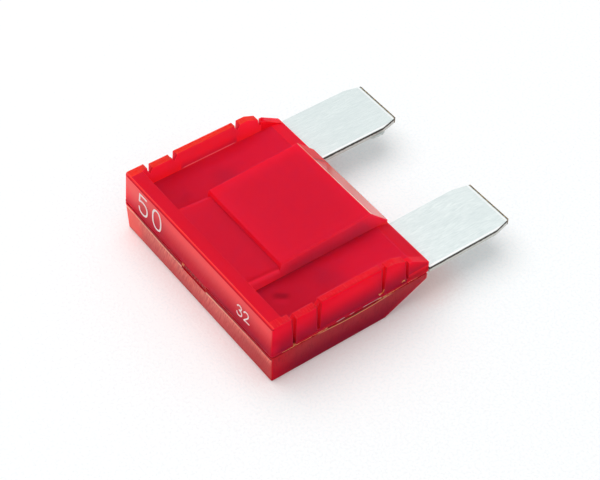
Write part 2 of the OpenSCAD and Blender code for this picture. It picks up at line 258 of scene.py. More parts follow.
# Paints of the front shell. A pair is a paint and how well it covers. A span is where a change starts
# and where it is complete, and a third number there is how much it adds
frontPaint = {
    "flat": rgb(240, 26, 52), "cloud": (rgb(226, 22, 50), 0.5), "mottle": (rgb(196, 18, 46), 0.3),
    "endWallTop": rgb(208, 24, 48),
    # the raised block, its slanted end and the label strip, with painted light, highlights and shade on
    # the block
    "blockTop": rgb(255, 26, 54), "blockSide": rgb(255, 60, 92), "footHighlight": (rgb(255, 66, 72), 0.7),
    "strip": rgb(206, 26, 52), "stepShade": (rgb(130, 8, 30), 0.15), "stepFace": (rgb(240, 26, 52), 0.6),
    "slantDeep": rgb(226, 20, 30), "slantSheen": rgb(255, 90, 80), "slantCover": 0.9,
    "slantMark": (rgb(120, 26, 26), 0.7), "slantMarkAt": (-4.2, 7.6), "slantEdgeHighlight": rgb(255, 226, 190),
    "slantSpan": (-3, -0.8), "slantGloss": (-4.4, -2.5, 0.6), "slantEdgeCover": (0.35, (-4, -2, 0.4)),
    # the sunken floors, with the smudges over the pegs
    "floor": rgb(232, 26, 56), "floorAtEnd": rgb(190, 22, 48), "floorSpan": (2, 14),
    "floorDeeper": (0, 4, 2), "ramp": rgb(255, 26, 48), "rampSoft": 0.4,
    "pegMark": rgb(112, 6, 26), "pegMarkCover": (0.1, 0.45), "pegMarkSpan": (-12, 8),
    "pegMarkInside": (rgb(216, 30, 62), 0.3), "pegMarkAt": (9.61, 4.85), "pegMarkGap": (0.45, 0.4),
    "pegMarkWays": ((0.62, 0.79, 0), (-0.79, 0.62, 0)), "pegMarkWander": 0.8,
    # the side walls, inside, on top and outside, with painted light, shade and glints
    "tabInside": rgb(255, 54, 84), "tabInsideFoot": rgb(208, 50, 86), "shortTabFoot": rgb(255, 50, 70),
    "tailInside": rgb(208, 26, 44), "floorLineHighlight": rgb(255, 150, 170), "insideRise": 1.5,
    "tabTopNear": rgb(220, 26, 46), "tabTopFar": rgb(250, 52, 44), "tabTopSpan": (-4, 4),
    "frostAndSheen": (rgb(255, 120, 100), 0.16), "scratches": ((0.8, 15, 0.8), 2),
    "grooveWall": (rgb(200, 34, 54), 0.8), "grooveBottom": rgb(200, 34, 54),
    "sideTop": rgb(255, 12, 48), "sideFoot": rgb(190, 10, 46), "sideSpan": (5.4, 8.4),
    "sideEdge": rgb(227, 14, 50), "cornerAlong": (1.6, 0.3), "cornerUp": (7, 5.5),
    "lip": rgb(255, 26, 44), "lipUp": (1.15, 0.8), "glint": (rgb(255, 190, 200), 0.75),
    "glints": ((8.8, 9.9), (10.6, 11.25), (12.5, 15)), "glintWander": 0.08,
    # the marked end, with a painted reflection and painted shade and highlight lines
    "endFaceTop": rgb(255, 90, 92), "endFaceLeft": rgb(255, 104, 104), "leftSpan": (-7, -12.5),
    "endFaceFoot": rgb(226, 30, 52), "endFaceRight": rgb(218, 26, 48), "rightSpan": (2, 13),
    "endSpan": (5, 8.5), "endLift": (-7, -13, 0.8), "endDrop": (3, 9, 0.1),
    "seamShadeBand": rgb(220, 0, 38), "seamCorner": rgb(244, 8, 34), "bandSpan": (0.54, 0.3),
    "bandLift": (-12, -3, 0.14), "bandDrop": (4, 12, 0.28), "bandWander": 0.35,
    "bandCover": 0.92, "bandThinner": (-4, 3, 0.35),
    "bevelHighlight": (rgb(255, 96, 84), 0.6), "bevelShade": (rgb(176, 8, 34), 0.75),
    "edge": (rgb(255, 84, 70), 0.15), "marks": ((6.5, 1, 0.45), 3, 0.6), "marksCover": 0.28,
    # painted glow for light through the far tabs, the far ramp, the block's near side, the tail and the
    # end's top
    "glowTabs": (4, -4), "glowLessOnLong": 0.75, "glowRamp": (0, -6), "glowBlock": (0, 2, 0.7),
    "glowTail": 0.4, "glowLip": 0.8, "glowEnd": (6.8, 8, 0.35),
    "roughness": (0.2, 0.1, 0.12), "edgeGloss": 0.12, "coatRoughness": 0.12, "bevel": 0.1,
    "grainBump": (0.012, 0.35), "marksBump": (0.02, 0.25),
    "subsurface": (1.0, 0.03, 0.03), "subsurfaceDepth": 6,
}


def frontShellLook(form, paint):
    look = Look("glossyRedShell")
    spot, (x, y, z) = look.place()
    out, along, up = look.facing()
    seam, floorAt, rim, grooveAt = (form[key] for key in ("seam", "floor", "rim", "grooveAt"))
    halfBlock, blockAt, endWall = (form[key] for key in ("blockHalfWidth", "blockAt", "endWall"))
    fromEnd = y - form["endAt"]
    fromMiddle = look.size(x)
    rounded = look.rounded(paint["bevel"])
    fine = look.noise(spot, 2.5)
    wander = wanderOver(look, spot)
    flatTop = look.faces(up)
    sideways = look.faces(look.size(out))

    colour = look.lay(look.rise(look.noise(spot, 0.22, 2), 0.3, 0.7), paint["flat"], paint["cloud"])
    colour = look.lay(look.rise(fine, 0.55, 0.8), colour, paint["mottle"])
    colour = look.blend(flatTop * look.before(fromEnd, endWall, 0.02), colour, paint["endWallTop"])
    # the raised block, and the duller label strip, with a painted shade line at the step between them
    # and the step's face painted lighter
    onBlock = look.rise(fromMiddle, halfBlock + 0.1, halfBlock - 0.05)
    blockTop = onBlock * look.rise(fromEnd, blockAt - 0.05, blockAt + 0.1)
    colour = look.blend(blockTop, colour, paint["blockTop"])
    strip = onBlock * look.band(fromEnd, endWall + 0.05, blockAt, 0.04)
    colour = look.blend(strip, colour, paint["strip"])
    colour = look.lay(onBlock * look.near(fromEnd - blockAt, 0.12, 0.02), colour, paint["stepShade"])
    atStep = look.band(fromEnd, blockAt - 0.4, blockAt + 0.4, 0.1)
    stepFace = onBlock * look.rise(along, -0.4, -0.8) * atStep
    colour = look.lay(stepFace, colour, paint["stepFace"])
    # the block's sides are painted brighter than their light makes them, with a painted highlight line
    # along their foot
    blockSide = sideways * look.before(fromMiddle, halfBlock + 0.2, 0.1)
    colour = look.blend(blockSide, colour, paint["blockSide"])
    footHighlight = blockSide * look.rise(z, floorAt + 0.12, floorAt + 0.05)
    colour = look.lay(footHighlight, colour, paint["footHighlight"])

    # the sunken floors are deeper in colour near the marked end, and their ramps are brighter
    sunk = flatTop * look.before(z, floorAt + 0.2, 0.1)
    deeper = fromEnd - look.slide(x, *paint["floorDeeper"])
    floorColour = look.blend(look.rise(deeper, *paint["floorSpan"]), paint["floorAtEnd"], paint["floor"])
    rampAt, rampFull = form["rampAt"], form["rampAt"] + paint["rampSoft"]
    floorColour = look.blend(look.rise(fromEnd, rampAt - 0.05, rampFull), floorColour, paint["ramp"])
    # the pegs show through as dark smudges, each with a lighter one beside it
    towards = look.node("VectorMath", {"operation": "SUBTRACT"},
                        {0: look.point(fromMiddle, fromEnd), 1: paint["pegMarkAt"] + (0,)})
    aside, away = (look.node("VectorMath", {"operation": "DOT_PRODUCT"}, {0: towards, 1: way}, "Value")
                   for way in paint["pegMarkWays"])
    within = look.near(aside, 1.3, 0.3)
    nearSide = look.rise(x, *paint["pegMarkSpan"])
    always, more = paint["pegMarkCover"]
    darkGap, lightGap = paint["pegMarkGap"]
    smudge = within * look.near(away - darkGap + wander * paint["pegMarkWander"], 0.75, 0.05)
    floorColour = look.blend(smudge * (always + nearSide * more), floorColour, paint["pegMark"])
    lighter = within * look.near(away + lightGap, 0.7, 0.1) * nearSide
    floorColour = look.lay(lighter, floorColour, paint["pegMarkInside"])
    colour = look.blend(sunk, colour, floorColour)

    # side walls: tops frosted by fine scratches with a painted sheen, inner faces painted to glow,
    # painted shade in the deep grooves
    onWall = look.rise(fromMiddle, form["wallFoot"] - 0.1, form["wallFoot"] + 0.02)
    tail = look.past(fromEnd, form["tailAt"], 0.1)
    # the far tops are painted paler than the near ones, as painted light
    tabTop = look.blend(look.rise(x, *paint["tabTopSpan"]), paint["tabTopFar"], paint["tabTopNear"])
    scratches = look.rise(look.noise(spot, *paint["scratches"]), 0.5, 0.68)
    tabTop = look.blend(tail, look.lay(scratches, tabTop, paint["frostAndSheen"]), paint["ramp"])
    colour = look.blend(flatTop * onWall, colour, tabTop)
    # inner faces are painted bright as if lit from behind, darker towards their foot as painted shade,
    # with a painted highlight line at the long tab's foot
    inner = sideways * onWall * look.before(fromMiddle, grooveAt - 0.2, 0.05)
    longStart, longEnd = form["longTab"]
    onLong = look.band(fromEnd, longStart, longEnd, 0.3)
    higher = look.rise(z, floorAt, floorAt + paint["insideRise"])
    floorLineHighlight = look.band(fromEnd, longStart + 0.4, longEnd - 0.4, 0.4) \
        * look.before(z, floorAt + 0.15, 0.05)
    inShort = look.blend(higher, paint["shortTabFoot"], paint["tabInside"])
    inLong = look.blend(higher, paint["tabInsideFoot"], paint["tabInside"])
    inside = look.blend(onLong, inShort, look.blend(floorLineHighlight, inLong, paint["floorLineHighlight"]))
    colour = look.blend(inner, colour, look.blend(tail, inside, paint["tailInside"]))
    # the grooves are painted darker, as shade
    grooveWall = look.faces(look.size(along)) * onWall * look.band(fromEnd, *form["grooves"], 0.2)
    colour = look.lay(grooveWall, colour, paint["grooveWall"])
    grooveBottom = sideways * look.band(fromMiddle, grooveAt - 0.1, grooveAt + 0.12, 0.04)
    colour = look.blend(grooveBottom, colour, paint["grooveBottom"])

    # outer sides are painted from light at the rim to shade at the seam, but for the lip by the blades,
    # painted bright
    outerSide = sideways * look.past(fromMiddle, grooveAt + 0.2, 0.08)
    sideColour = look.blend(look.rise(z, *paint["sideSpan"]), paint["sideFoot"], paint["sideTop"])
    # painted light along the long tab's low edge and at the corner by the marked end
    lowEdge = look.before(z, seam + 0.4, 0.1) * look.band(fromEnd, longStart + 0.2, longEnd - 0.2, 0.3)
    atCorner = look.rise(fromEnd, *paint["cornerAlong"]) * look.rise(z, *paint["cornerUp"])
    sideColour = look.blend(lowEdge + atCorner, sideColour, paint["sideEdge"])
    lip = tail * look.rise(z - seam, *paint["lipUp"])
    sideColour = look.blend(lip, sideColour, paint["lip"])
    # painted highlights: short glints along the lower edge on the near side
    first, second, third = (look.band(fromEnd, *ends, 0.1) for ends in paint["glints"])
    glint = (first + second + third) * look.rise(x, 0, 1) \
        * look.before(z + wander * paint["glintWander"], seam + 0.1, 0.04)
    colour = look.blend(outerSide, colour, look.lay(glint, sideColour, paint["glint"]))

    # the block's slanted end is painted pale as a reflection, but for its far corner
    slanted = look.rise(along, 0.35, 0.6) * look.rise(up, 0.3, 0.6) \
        * look.rise(fromMiddle, halfBlock + 0.1, halfBlock)
    fromCorner = x + (fromEnd - 20) * 1.2
    slantColour = look.blend(look.rise(fromCorner, *paint["slantSpan"]), paint["slantDeep"],
                             paint["slantSheen"])
    markAcross, markUp = paint["slantMarkAt"]
    fromMark = x - markAcross - (z - markUp) * 0.2
    slantColour = look.lay(look.near(fromMark, 0.3, 0.08), slantColour, paint["slantMark"])
    colour = look.blend(slanted * paint["slantCover"], colour, slantColour)

    # the marked end is satin, with slanting file marks; its run from pink to deep red at the seam is a
    # painted reflection of the floor
    endFace = look.faces(along, -1) * look.before(fromEnd, 0.4, 0.1)
    marks = fileMarks(look, spot, paint["marks"])
    endFoot = look.blend(look.rise(x, *paint["rightSpan"]), paint["endFaceFoot"], paint["endFaceRight"])
    endTop = look.blend(look.rise(x, *paint["leftSpan"]), paint["endFaceTop"], paint["endFaceLeft"])
    height = z + look.slide(x, *paint["endLift"]) - look.slide(x, *paint["endDrop"])
    paler = look.rise(height, *paint["endSpan"]) + (marks - 0.5) * paint["marksCover"]
    endColour = look.blend(paler, endFoot, endTop)
    # a painted shade band along the seam, lighter at the left corner
    leftCorner = look.rise(x, *redPlastic["leftCorner"])
    bandColour = look.blend(leftCorner, paint["seamShadeBand"], paint["seamCorner"])
    bandTop = z + wander * paint["bandWander"] + look.slide(x, *paint["bandLift"]) \
        - look.slide(x, *paint["bandDrop"])
    bandStart, bandFull = paint["bandSpan"]
    band = look.rise(bandTop, seam + bandStart, seam + bandFull)
    bandCover = paint["bandCover"] - look.slide(x, *paint["bandThinner"])
    endColour = look.blend(band * bandCover, endColour, bandColour)
    colour = look.blend(endFace, colour, endColour)
    # a painted highlight line along the bevel above it, with a painted shade line at its foot
    bevel = look.rise(fromEnd, 0.75, 0.6) * look.rise(along, -0.15, -0.35)
    colour = look.lay(bevel * look.band(z, rim - 0.33, rim - 0.14, 0.03), colour, paint["bevelShade"])
    colour = look.lay(bevel * look.rise(z, rim - 0.1, rim - 0.03), colour, paint["bevelHighlight"])
    # painted highlights along the rounded edges
    edge = look.edges(rounded, 0.02, 0.2)
    colour = look.lay(edge, colour, paint["edge"])
    # a painted highlight along the slanted end's top edge
    slantEdgeHighlight = slanted * look.before(fromEnd, form["slantAt"] + 0.01, 0.05)
    least, added = paint["slantEdgeCover"]
    colour = look.blend(slantEdgeHighlight * (least + look.slide(x, *added)), colour, paint["slantEdgeHighlight"])

    # painted glow: emission where light would come through the thin walls
    onRamp = look.rise(fromEnd, rampAt, rampFull)
    through = inner * look.rise(x, *paint["glowTabs"]) * (1 - onLong * paint["glowLessOnLong"]) \
        + sunk * onRamp * look.rise(x, *paint["glowRamp"]) \
        + blockSide * look.slide(x, *paint["glowBlock"]) \
        + outerSide * (tail * paint["glowTail"] + lip * paint["glowLip"]) \
        + endFace * (look.rise(x, *redPlastic["cornerGlow"]) + look.slide(z, *paint["glowEnd"]))
    least, spread, satin = paint["roughness"]
    return finishRed(look, paint, {
        "colour": colour, "roughness": least + fine * spread + endFace * satin, "through": through,
        "normal": look.bump(fine, *paint["grainBump"], look.bump(marks, *paint["marksBump"], rounded)),
        "coat": {
            "Coat Weight": slanted * look.slide(x, *paint["slantGloss"]) + edge * paint["edgeGloss"],
            "Coat Roughness": paint["coatRoughness"],
        },
    })


# Paints of the back shell, in the same form, with painted light and shade on its sides and marked end
backPaint = {
    "flat": rgb(190, 20, 42), "cloud": (rgb(165, 14, 38), 0.5),
    "sideRim": rgb(184, 50, 58), "sideFoot": rgb(150, 8, 42), "sideMarkedEnd": (rgb(208, 4, 34), 0.7),
    "sideSpan": (0.6, 4), "markedSpan": (4.5, 0.3), "stains": ((5, 5, 1), 3, 0.6),
    "stain": (rgb(96, 6, 30), 0.3), "sideShadeBand": rgb(104, 4, 24), "sideShadeBandSpan": (4.15, 4.22),
    "endFace": rgb(252, 138, 126), "endFaceFoot": rgb(206, 66, 72), "endSpan": (0.6, 3.6),
    "endFaceRight": (rgb(190, 58, 62), 0.75), "rightSpan": (3, 12), "rightUp": (3.8, 2.4),
    "endCorner": rgb(255, 104, 96), "cornerSpan": (-9.5, -13.5),
    "endShadeBand": rgb(160, 0, 30), "endShadeBandCorner": rgb(244, 10, 36), "bandAt": 3.9,
    "bandLift": (-14, -4, 0.3), "bandDrop": (0, 12, 0.27), "bandWander": 0.16,
    "rimHighlight": rgb(255, 190, 160), "rimHighlightCover": (0.95, 0.7), "rimHighlightGap": 0.16,
    "gate": rgb(120, 6, 24), "gateRagged": rgb(196, 30, 40), "gateIn": (0.1, 0.16), "gateUp": (3.1, 3.2),
    "edge": (rgb(235, 120, 95), 0.4), "edgeUp": (0.7, 1.2), "gap": rgb(140, 6, 22),
    "weldLineAndGlint": (rgb(255, 168, 118), 0.85), "weldAt": 4.16, "weldSpan": (6.5, 16.5), "weldWander": 0.08,
    "dipStart": (5, 11.5), "dipEnd": (18, 11.8), "weldDip": 0.3, "bandDip": 0.34,
    "marks": ((8, 1, 0.45), 4, 0.65), "roughness": (0.24, 0.12, 0.1), "bevel": 0.08,
    "grainBump": (0.02, 0.5), "marksBump": (0.03, 0.4),
    "subsurface": (1.0, 0.05, 0.05), "subsurfaceDepth": 2.5,
}


def backShellLook(form, paint):
    look = Look("darkRedShell")
    spot, (x, y, z) = look.place()
    out, along, up = look.facing()
    fromEnd = y - form["endAt"]
    rounded = look.rounded(paint["bevel"])
    cloud = look.rise(look.noise(spot, 0.3), 0.3, 0.7)
    fine = look.noise(spot, 3, 4, 0.6)
    wander = wanderOver(look, spot)
    colour = look.lay(cloud, paint["flat"], paint["cloud"])

    # the sides: painted darker to the foot as shade, redder by the marked end, a painted shade band
    # above the weld's low middle
    paler = look.rise(z, *paint["sideSpan"]) * (0.6 + cloud * 0.4)
    sideColour = look.blend(paler, paint["sideFoot"], paint["sideRim"])
    sideColour = look.lay(look.rise(fromEnd, *paint["markedSpan"]), sideColour, paint["sideMarkedEnd"])
    stains = look.rise(look.noise(spot, *paint["stains"]), 0.48, 0.72)
    sideColour = look.lay(stains, sideColour, paint["stain"])
    dip = look.rise(fromEnd, *paint["dipStart"]) * look.rise(fromEnd, *paint["dipEnd"])
    uneven = wander * paint["weldWander"]
    sideShadeBand = look.rise(z + dip * paint["bandDip"] + uneven, *paint["sideShadeBandSpan"])
    sideColour = look.blend(sideShadeBand, sideColour, paint["sideShadeBand"])
    # the weld's pale line is partly flash and partly a painted highlight
    weldLineAndGlint = look.near(z + dip * paint["weldDip"] + uneven - paint["weldAt"], 0.1, 0.04) \
        * look.band(fromEnd, *paint["weldSpan"], 0.6)
    sideColour = look.lay(weldLineAndGlint, sideColour, paint["weldLineAndGlint"])
    colour = look.blend(look.faces(look.size(out)), colour, sideColour)

    # the marked end: file marks, a painted reflection paler towards the top and the left corner, a
    # wandering painted shade band under the rim, and a painted highlight line below that
    endFace = look.faces(along, -1)
    marks = fileMarks(look, spot, paint["marks"])
    right = look.rise(x, *paint["rightSpan"])
    paler = look.rise(marks, 0.2, 0.7) * (0.3 + look.rise(z, *paint["endSpan"]) * 0.7)
    endColour = look.blend(paler, paint["endFaceFoot"], paint["endFace"])
    endColour = look.lay(right * look.rise(z, *paint["rightUp"]), endColour, paint["endFaceRight"])
    endColour = look.blend(look.rise(x, *paint["cornerSpan"]), endColour, paint["endCorner"])
    aboveBand = z + wander * paint["bandWander"] + look.slide(x, *paint["bandLift"]) \
        - look.slide(x, *paint["bandDrop"]) - paint["bandAt"]
    cover, lessOnRight = paint["rimHighlightCover"]
    rimHighlight = look.near(aboveBand + paint["rimHighlightGap"], 0.18, 0.05) * (cover - right * lessOnRight)
    endColour = look.blend(rimHighlight, endColour, paint["rimHighlight"])
    leftCorner = look.rise(x, *redPlastic["leftCorner"])
    bandColour = look.blend(leftCorner, paint["endShadeBand"], paint["endShadeBandCorner"])
    endColour = look.blend(look.rise(aboveBand, -0.03, 0.05), endColour, bandColour)
    inGate = look.rise(fromEnd, *paint["gateIn"]) * look.rise(z, *paint["gateUp"])
    gateColour = look.blend(look.rise(fine, 0.5, 0.62), paint["gate"], paint["gateRagged"])
    endColour = look.blend(inGate, endColour, gateColour)
    colour = look.blend(endFace, colour, endColour)

    # painted highlights along the rounded edges, but for the bottom ones
    edge = look.edges(rounded, 0.02, 0.25) * look.rise(z, *paint["edgeUp"])
    colour = look.lay(edge, colour, paint["edge"])
    # painted shade on the weld step, deep in the line between the shells
    gap = look.rise(z, form["rimFoot"] - 0.01, form["rimFoot"] + 0.03) * look.rise(up, 0.5, 0.3)
    colour = look.blend(gap, colour, paint["gap"])
    least, spread, satin = paint["roughness"]
    return finishRed(look, paint, {
        "colour": colour, "roughness": least + fine * spread + endFace * satin,
        # a painted glow at the marked end's left corner
        "through": endFace * look.rise(x, *redPlastic["cornerGlow"]),
        "normal": look.bump(fine, *paint["grainBump"], look.bump(marks, *paint["marksBump"], rounded)),
    })


# The stamped element: brushed tops, and cut edges that are dark where the sheet broke
elementPaint = {
    "light": rgb(240, 248, 247), "dark": rgb(212, 224, 224), "cloudy": (rgb(214, 225, 225), 0.3),
    "white": (rgb(255, 255, 255), 0.8), "cutDark": rgb(60, 50, 44), "cutLight": rgb(214, 214, 208),
    "speck": rgb(196, 166, 112), "streaks": ((32, 0.8, 32), 4, 0.75),
    "sheetTop": 4.85, "tipAt": 17.15, "nearEdges": (-6.68, 14.32),
    "metallic": 0.37, "roughness": (0.42, 0.16), "streaksBump": (0.012, 0.35), "ior": 1.5,
}


def elementLook(paint):
    look = Look("brushedZinc")
    spot, (x, y, z) = look.place()
    _, along, up = look.facing()
    top, tip = paint["sheetTop"], paint["tipAt"]
    streaks = look.noise(spot, *paint["streaks"])
    broad = look.noise(spot, (1.6, 0.15, 1.6), 2)
    colour = look.blend(look.rise(streaks, 0.4, 0.6), paint["dark"], paint["light"])
    colour = look.lay(look.rise(broad, 0.35, 0.7) + look.rise(x, 2, -2), colour, paint["cloudy"])
    # the cut faces: a dark torn band at the top, a pale sheared band below it
    ragged = look.noise(spot, 2.5) - 0.5
    specks = look.rise(look.noise(spot, 7, 3, 0.7), 0.5, 0.6)
    torn = look.rise(z + ragged * 0.25, top - 0.4, top - 0.32)
    cut = look.blend(torn, paint["cutLight"], paint["cutDark"])
    cut = look.blend(specks * look.rise(along, 0.5, 0.8), cut, paint["speck"])
    colour = look.blend(look.rise(look.size(up), 0.7, 0.5), colour, cut)
    # a painted highlight line runs inside the near edges and the tips, and the tips' top edge is burred
    first, second = (look.near(x - edge, 0.16, 0.06) for edge in paint["nearEdges"])
    edgeHighlightLine = first + second + look.band(y, tip - 0.46, tip - 0.33, 0.05)
    colour = look.lay(edgeHighlightLine * look.rise(up, 0.5, 0.8), colour, paint["white"])
    tipEdge = look.past(y + ragged * 0.12, tip - 0.2, 0.04)
    colour = look.blend(tipEdge, colour, look.blend(specks, paint["cutDark"], paint["speck"]))
    least, spread = paint["roughness"]
    return look.finish({
        "Base Color": colour, "Roughness": least + streaks * spread, "Metallic": paint["metallic"],
        "Normal": look.bump(streaks, *paint["streaksBump"]), "IOR": paint["ior"],
    })


def dress(node, material):
    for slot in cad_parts[node].material_slots:
        slot.material = material


dress("front_shell", frontShellLook(shellForm, frontPaint))
dress("back_shell", backShellLook(shellForm, backPaint))
zinc = elementLook(elementPaint)
dress("fuse_element", zinc)
print("shells and element dressed")


def smooth(points, step=0.06):
    # a soft line through the points, closed where its ends meet
    closed = points[0] == points[-1]
    points = [Vector(p) for p in points]
    if closed:
        lead, trail = points[-2], points[1]
    else:
        lead, trail = 2 * points[0] - points[1], 2 * points[-1] - points[-2]
    around = [lead] + points + [trail]
    line = []
    for before, start, stop, after in zip(around, around[1:], around[2:], around[3:]):
        count = max(1, round((stop - start).length / step))
        for k in range(count):
            t = k / count
            line.append(0.5 * (2 * start + (stop - before) * t
                               + (2 * before - 5 * start + 4 * stop - after) * t * t
                               + (3 * start - before - 3 * stop + after) * t ** 3))
    return line + ([] if closed else [points[-1]]), closed


def ribbon(shape, points, width, heights, lay):
    # one domed stroke along a flat line, with round ends; lay(across, up, height) gives its place
    line, closed = smooth(points)
    offsets = (-1, -0.8, 0, 0.8, 1)
    half = width / 2
    stops = [(p, 1.0) for p in line]
    if not closed:
        caps = [math.radians(a) for a in (90, 65, 40, 20)]
        tip = 0.002   # the round end stops just short of a point
        first, last = (line[0] - line[1]).normalized(), (line[-1] - line[-2]).normalized()
        stops = [(line[0] + first * half * math.sin(a), math.cos(a) + tip) for a in caps] + stops \
            + [(line[-1] + last * half * math.sin(a), math.cos(a) + tip) for a in reversed(caps)]
    rows = []
    for i, (p, share) in enumerate(stops):
        before = stops[i - 1][0] if closed or i else p
        after = stops[(i + 1) % len(stops)][0] if closed or i + 1 < len(stops) else p
        ahead = (after - before).normalized()
        side = Vector((-ahead.y, ahead.x)) * half * share
        rows.append([shape.verts.new(lay(*(p + side * o), h)) for o, h in zip(offsets, heights)])
    pairs = list(zip(rows, rows[1:])) + ([(rows[-1], rows[0])] if closed else [])
    for one, two in pairs:
        for j in range(len(offsets)):
            k = (j + 1) % len(offsets)
            shape.faces.new((one[j], one[k], two[k], two[j]))
    if not closed:
        shape.faces.new(rows[0])
        shape.faces.new(list(reversed(rows[-1])))


def addPiece(name, shape, material, smoothFaces=True):
    bmesh.ops.recalc_face_normals(shape, faces=shape.faces)
    mesh = bpy.data.meshes.new(name)
    shape.to_mesh(mesh)
    shape.free()
    for face in mesh.polygons:
        face.use_smooth = smoothFaces
    mesh.materials.append(material)
    piece = bpy.data.objects.new(name, mesh)
    bpy.context.scene.collection.objects.link(piece)
    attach(piece, "root")
    return piece


# The two printed figures on the marked end, as thin strokes of white ink
endPrint = {
    "ink": rgb(255, 236, 234), "inkWorn": (rgb(252, 215, 215), 0.5), "roughness": (0.45, 0.15),
    "specular": 0.3, "proud": 0.012, "shoulder": 0.7, "sunk": 0.01, "lean": 0.18,
    "figures": {
        "print_50": {"stroke": 0.28, "lines": [
            [(-9.98, 8.0), (-11.3, 8.03)],
            [(-11.3, 8.03), (-11.4, 6.93)],
            [(-11.4, 6.93), (-11.0, 7.08), (-10.5, 7.08), (-10.05, 6.85), (-9.82, 6.4),
             (-9.85, 5.85), (-10.1, 5.4), (-10.6, 5.22), (-11.05, 5.3), (-11.35, 5.55), (-11.45, 5.95)],
            [(-7.85, 8.08), (-8.3, 7.9), (-8.58, 7.35), (-8.64, 6.65), (-8.55, 5.95), (-8.2, 5.4),
             (-7.75, 5.27), (-7.3, 5.43), (-7.06, 5.95), (-7.0, 6.65), (-7.08, 7.35), (-7.4, 7.95),
             (-7.85, 8.08)],
        ]},
        "print_32": {"stroke": 0.19, "lines": [
            [(8.08, 6.98), (8.28, 7.17), (8.6, 7.2), (8.82, 6.98), (8.74, 6.7), (8.45, 6.52)],
            [(8.45, 6.52), (8.82, 6.38), (8.92, 6.05), (8.72, 5.76), (8.36, 5.67), (8.1, 5.78),
             (8.02, 6.0)],
            [(9.3, 6.95), (9.48, 7.15), (9.8, 7.22), (10.08, 7.05), (10.1, 6.75), (9.9, 6.4),
             (9.65, 6.1), (9.36, 5.77)],
            [(9.36, 5.77), (10.3, 5.83)],
        ]},
    },
}


def inkLook(spec):
    look = Look("whiteInk")
    spot, _ = look.place()
    worn = look.rise(look.noise(spot, 3), 0.45, 0.7)
    least, spread = spec["roughness"]
    return look.finish({
        "Base Color": look.lay(worn, spec["ink"], spec["inkWorn"]),
        "Roughness": least + worn * spread, "Specular IOR Level": spec["specular"],
    })


def addPrint(spec, form):
    def onEnd(across, up, height):
        # the marked end leans back towards the rim
        lean = spec["lean"] * (up - form["seam"]) / (form["rim"] - form["seam"])
        return Vector((across, form["endAt"] + lean - height, up)) * mm

    ink = inkLook(spec)
    foot, shoulder, top = -spec["sunk"], spec["proud"] * spec["shoulder"], spec["proud"]
    for name, figure in spec["figures"].items():
        shape = bmesh.new()
        for line in figure["lines"]:
            ribbon(shape, line, figure["stroke"], (foot, shoulder, top, shoulder, foot), onEnd)
        addPiece(name, shape, ink)


addPrint(endPrint, shellForm)
print("figures printed")


# What the weld, the gate and the press left: fins, curls and crumbs
chance = random.Random(11)   # every uneven shape below draws from it in turn

tornPlastic = {
    "roughness": (0.3, 0.2), "specular": 0.25,
    "subsurface": 0.3, "subsurfaceRadius": (1.0, 0.2, 0.1), "subsurfaceDepth": 0.4,
}


def tornLook(name, paints):
    look = Look(name)
    spot, _ = look.place()
    lumps = look.noise(spot, 2.2, 3, 0.6)
    deep, pale = paints
    least, spread = tornPlastic["roughness"]
    return look.finish({
        "Base Color": look.blend(look.rise(lumps, 0.38, 0.62), deep, pale),
        "Roughness": least + lumps * spread, "Specular IOR Level": tornPlastic["specular"],
        "Subsurface Weight": tornPlastic["subsurface"],
        "Subsurface Radius": tornPlastic["subsurfaceRadius"],
        "Subsurface Scale": tornPlastic["subsurfaceDepth"] * mm,
    })


def bead(shape, stations, outward, sides=8):
    # a tube through (place, reach, height), where reach is its half size outward
    rows = []
    for i, (place, reach, height) in enumerate(stations):
        ahead = (stations[min(i + 1, len(stations) - 1)][0] - stations[max(i - 1, 0)][0]).normalized()
        upward = ahead.cross(outward)
        rows.append([shape.verts.new((place + outward * reach * math.cos(math.tau * k / sides)
                                      + upward * height * math.sin(math.tau * k / sides)) * mm)
                     for k in range(sides)])
    for one, two in zip(rows, rows[1:]):
        for k in range(sides):
            j = (k + 1) % sides
            shape.faces.new((one[k], one[j], two[j], two[k]))
    shape.faces.new(rows[0])
    shape.faces.new(list(reversed(rows[-1])))


finShape = {"step": 0.12, "drift": 0.035, "carry": 0.7, "thinner": 0.3, "thicker": 0.4, "taper": 5}


def fin(shape, line, place, outward, reach):
    # an uneven fin that thins out at both ends; its line holds way along, height and half thickness
    path, _ = smooth(line, finShape["step"])
    stations, stray = [], 0
    for i, (along, height, thick) in enumerate(path):
        stray = stray * finShape["carry"] + chance.uniform(-0.5, 0.5)
        taper = min(1, (i + 1) / finShape["taper"], (len(path) - i) / finShape["taper"])
        stations.append((place(along, height + stray * finShape["drift"]),
                         reach * (1 - abs(stray) * finShape["thinner"]) * taper,
                         thick * (1 + stray * finShape["thicker"]) * taper))
    bead(shape, stations, outward)


weldFlash = {
    "paints": (rgb(240, 96, 66), rgb(255, 176, 118)), "endPaints": (rgb(206, 10, 36), rgb(246, 118, 88)),
    "reach": 0.24,
    "side": [(1, 4.36, 0.015), (4, 4.3, 0.02), (6.5, 4.2, 0.06), (9, 4.02, 0.07), (11.5, 3.9, 0.07),
             (12.4, 3.88, 0.07), (14, 4.07, 0.06), (16, 4.2, 0.055), (18, 4.32, 0.045),
             (21, 4.42, 0.035)],
    "endLeft": [(-14, 3.78, 0.04), (-10, 3.64, 0.05), (-6, 3.5, 0.05), (-3, 3.46, 0.04)],
    "endRight": [(3, 4.4, 0.035), (6, 4.41, 0.05), (9, 4.4, 0.03), (11, 4.42, 0.05), (14, 4.42, 0.03)],
}


